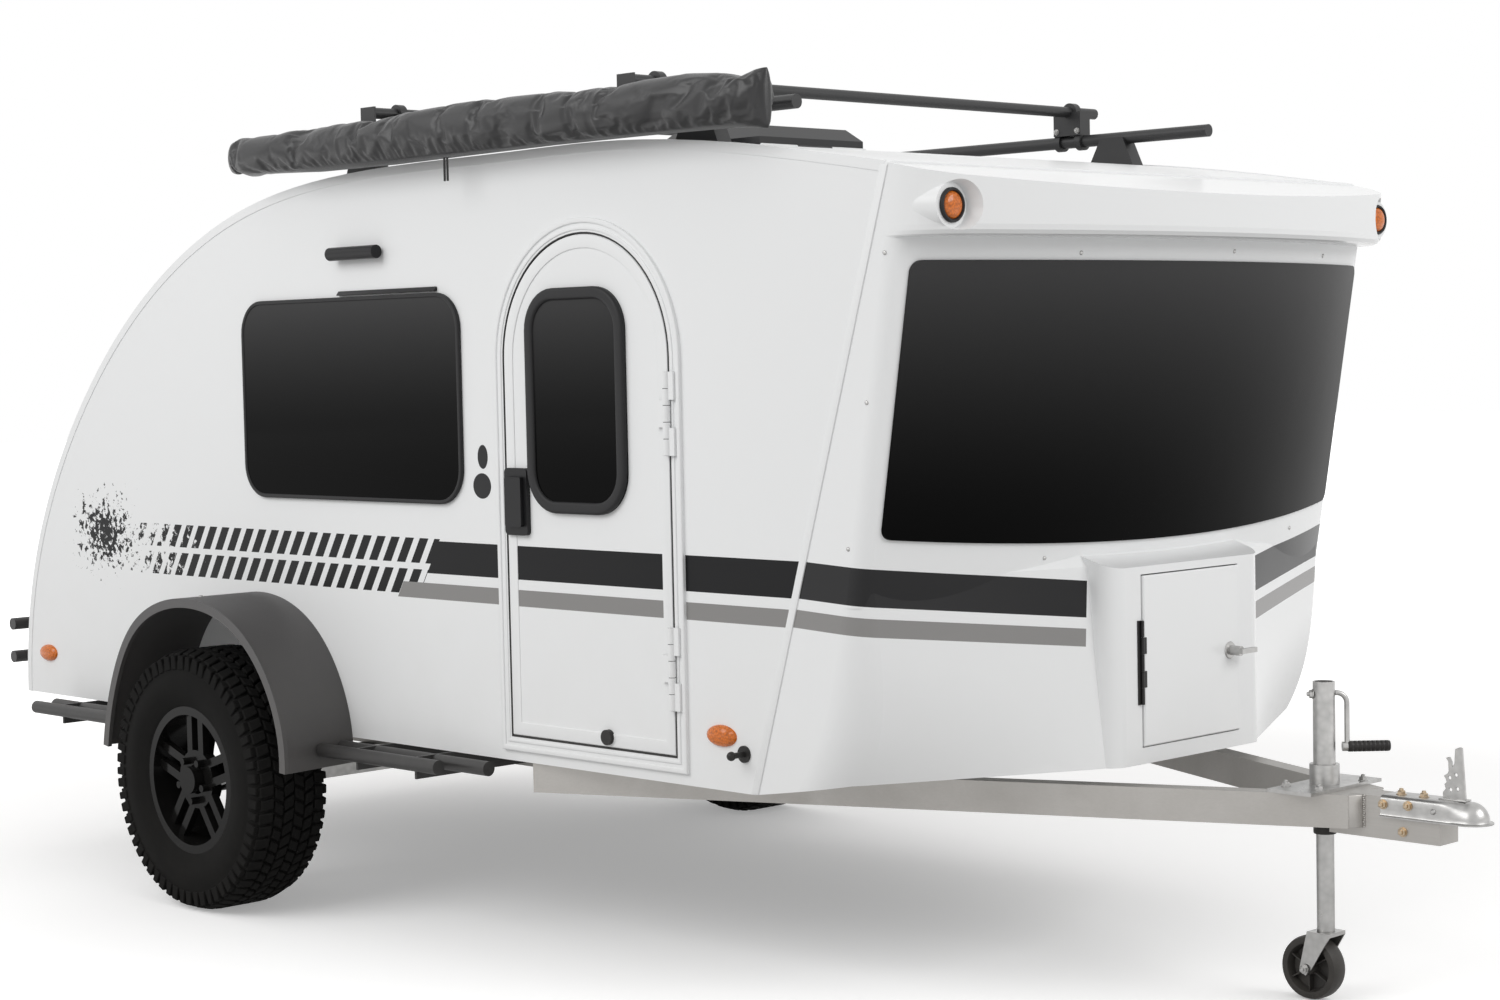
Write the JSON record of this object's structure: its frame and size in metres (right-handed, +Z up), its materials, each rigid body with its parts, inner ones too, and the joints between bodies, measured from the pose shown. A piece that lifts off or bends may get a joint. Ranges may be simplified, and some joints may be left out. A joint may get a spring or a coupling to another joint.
{
  "type": "teardrop trailer",
  "caption": "Teardrop camping trailer on a single axle with a side entry door, bowed front window, nose locker, roof rack with rolled awning, and a tongue jack with caster",
  "frame": {"origin": "middle of the bounding box at ground level, on the trailer's centre plane", "axes": "+X forwards towards the coupler, +Y to the left side, +Z up; the tyres and the caster stand on z = 0"},
  "size_m": [4.8019, 2.324, 2.2159],
  "materials": {
    "cabin_paint": "gloss white",
    "floor_board": "matt",
    "cap_gelcoat": "gloss white gelcoat",
    "dark_glazing": "gloss, tinted nearly black",
    "lamp_rubber": "matt black",
    "frame_paint": "satin white",
    "hinge_paint": "satin white",
    "black_plastic": "satin black",
    "bright_plating": "polished",
    "black_coating": "satin black",
    "galvanised_steel": "zinc plated, dull",
    "caster_plastic": "satin black",
    "tyre_rubber": "matt black",
    "fender_plastic": "fine grain, matt black",
    "rack_paint": "satin black",
    "awning_cover": "coated black cloth",
    "vent_frame": "satin white",
    "vent_cover": "gloss smoked black",
    "amber_lens": "gloss",
    "red_lens": "gloss",
    "bare_aluminium": "extruded and welded, left bare",
    "wheel_black": "gloss black"
  },
  "bodies": {
    "trailer": {"side_wall_right": "cabin_paint", "side_wall_left": "cabin_paint", "roof_shell": "cabin_paint", "floor": "floor_board", "front_cap": "cap_gelcoat", "windshield": "dark_glazing", "cap_lamps": "lamp_rubber", "window_right": "dark_glazing", "window_left": "dark_glazing", "door_frame": "frame_paint", "holdback": "black_plastic", "frame_rails": "bare_aluminium", "cross_members": "bare_aluminium", "tongue_rails": "bare_aluminium", "tongue_tube": "bare_aluminium", "coupler": "galvanised_steel", "coupler_latch": "galvanised_steel", "jack_tube": "galvanised_steel", "jack_bracket": "galvanised_steel", "jack_crank": "galvanised_steel", "axle": "galvanised_steel", "fender_right": "fender_plastic", "fender_left": "fender_plastic", "side_tubes_right": "black_coating", "side_tubes_left": "black_coating", "rear_bumper": "black_coating", "rack_rails": "rack_paint", "rack_bars": "rack_paint", "awning_bag": "awning_cover", "vent_base": "vent_frame", "side_markers": "amber_lens", "tail_lamps": "red_lens", "porch_light": "black_plastic", "nose_hinge_base": "black_plastic"},
    "entry_door": {"door_panel": "cabin_paint", "door_window": "dark_glazing", "door_handle": "black_plastic", "door_hinges": "hinge_paint"},
    "nose_door": {"nose_door": "cap_gelcoat", "nose_hinge": "black_plastic", "nose_latch": "bright_plating"},
    "vent_lid": {"vent_lid": "vent_cover"},
    "wheel_right": {"tyre_right": "tyre_rubber", "rim_right": "wheel_black", "hub_right": "wheel_black"},
    "wheel_left": {"tyre_left": "tyre_rubber", "rim_left": "wheel_black", "hub_left": "wheel_black"},
    "jack_leg": {"jack_leg": "galvanised_steel"},
    "caster_fork": {"caster_fork": "galvanised_steel"},
    "caster_wheel": {"caster_wheel": "caster_plastic"}
  },
  "joints": [
    {"name": "wheel_right_spin", "type": "hinge", "parent": "trailer", "child": "wheel_right", "pos_m": [-1.006, -1.046, 0.3668], "axis": [0, 1, 0], "continuous": true},
    {"name": "wheel_left_spin", "type": "hinge", "parent": "trailer", "child": "wheel_left", "pos_m": [-1.006, 1.046, 0.3668], "axis": [0, 1, 0], "continuous": true},
    {"name": "entry_door_hinge", "type": "hinge", "parent": "trailer", "child": "entry_door", "pos_m": [0.7552, -0.923, 1.2], "axis": [0, 0, 1], "range_deg": [0, 165]},
    {"name": "nose_door_hinge", "type": "hinge", "parent": "trailer", "child": "nose_door", "pos_m": [1.6, -0.196, 0.782], "axis": [0, 0, -1], "range_deg": [0, 110]},
    {"name": "vent_lid_hinge", "type": "hinge", "parent": "trailer", "child": "vent_lid", "pos_m": [0.3653, 0, 2.077], "axis": [0, 1, 0], "range_deg": [0, 50]},
    {"name": "jack_leg_slide", "type": "slide", "parent": "trailer", "child": "jack_leg", "axis": [0, 0, 1], "range_m": [-0.08, 0.17]},
    {"name": "caster_swivel", "type": "hinge", "parent": "jack_leg", "child": "caster_fork", "pos_m": [1.969, 0, 0.16], "axis": [0, 0, 1], "continuous": true},
    {"name": "caster_spin", "type": "hinge", "parent": "caster_fork", "child": "caster_wheel", "pos_m": [1.934, 0, 0.075], "axis": [0, 1, 0], "continuous": true}
  ]
}
